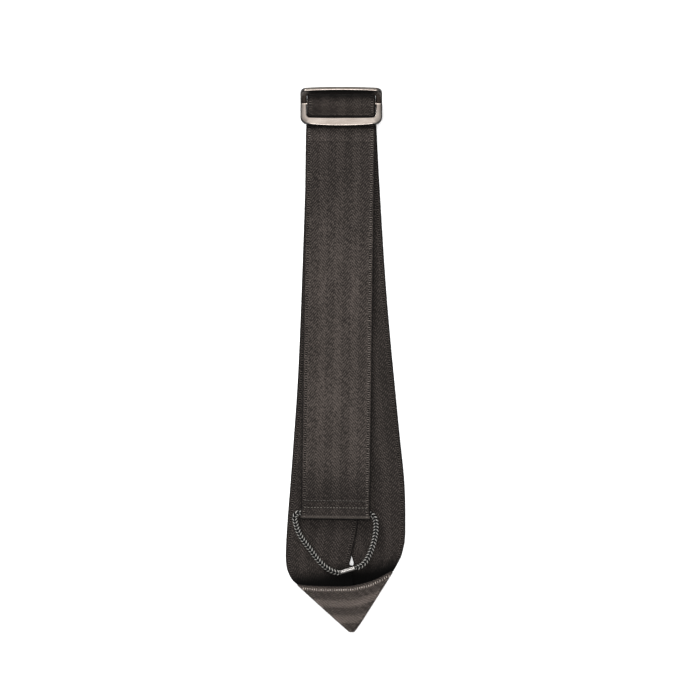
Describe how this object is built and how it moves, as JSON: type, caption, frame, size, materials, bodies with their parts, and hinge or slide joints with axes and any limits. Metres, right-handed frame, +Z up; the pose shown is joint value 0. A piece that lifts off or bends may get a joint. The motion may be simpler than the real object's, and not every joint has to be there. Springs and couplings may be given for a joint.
{
  "type": "guitar strap",
  "caption": "Woven guitar strap folded flat on its own loop, with a bent three-bar length slide and a braided cord button loop in the hem of its free end.",
  "frame": {"origin": "middle of the strap's outline, on the surface that it lies on", "axes": "+Y along the strap from the folded tip to the slide, +Z up from the surface, +X to the right seen from above with the slide at the top"},
  "size_m": [0.088, 0.3997, 0.0196],
  "materials": {
    "webbing": "charcoal herringbone webbing with a laddered edge, matt",
    "slide_metal": "gunmetal plating, satin with polished edges",
    "cord": "glossy black braid",
    "ferrule_metal": "crimped dark metal sleeve, satin",
    "thread": "dark grey sewing thread"
  },
  "bodies": {
    "loop": {"webbing_right_leg": "webbing", "webbing_left_leg": "webbing", "webbing_anchor_end": "webbing", "webbing_bar_turn": "webbing", "anchor_thread_near": "thread", "anchor_thread_far": "thread"},
    "loop_tip": {"webbing_tip_fold": "webbing"},
    "slide": {"slide_frame": "slide_metal", "slide_centre_bar": "slide_metal"},
    "front_run": {"webbing_front_run": "webbing"},
    "hem": {"webbing_hem": "webbing", "hem_thread_lower": "thread", "hem_thread_upper": "thread"},
    "cord": {"button_cord": "cord", "cord_ferrule": "ferrule_metal"}
  },
  "joints": [
    {"name": "slide_tilt", "type": "hinge", "parent": "loop", "child": "slide", "pos_m": [-0.0031, 0.1884, 0.0052], "axis": [-1, 0, 0], "range_deg": [0, 50]},
    {"name": "run_lift", "type": "hinge", "parent": "loop", "child": "front_run", "pos_m": [-0.0039, 0.168, 0.00545], "axis": [-1, 0, 0], "range_deg": [0, 100]},
    {"name": "strap_adjust", "type": "slide", "parent": "front_run", "child": "hem", "axis": [0.0134, 0.9999, 0], "range_m": [0, 0.16], "deforming": ["webbing_front_run"]},
    {"name": "loop_travel", "type": "slide", "parent": "loop", "child": "loop_tip", "axis": [0, -1, 0], "range_m": [0, 0.08], "deforming": ["webbing_right_leg", "webbing_left_leg"]},
    {"name": "cord_swing", "type": "hinge", "parent": "hem", "child": "cord", "pos_m": [-0.00768, -0.1126, 0.0068], "axis": [-0.9999, 0.0134, 0], "range_deg": [0, 165]}
  ],
  "couplings": [
    {"joint": "loop_travel", "follows": "strap_adjust", "ratio": 0.5}
  ]
}
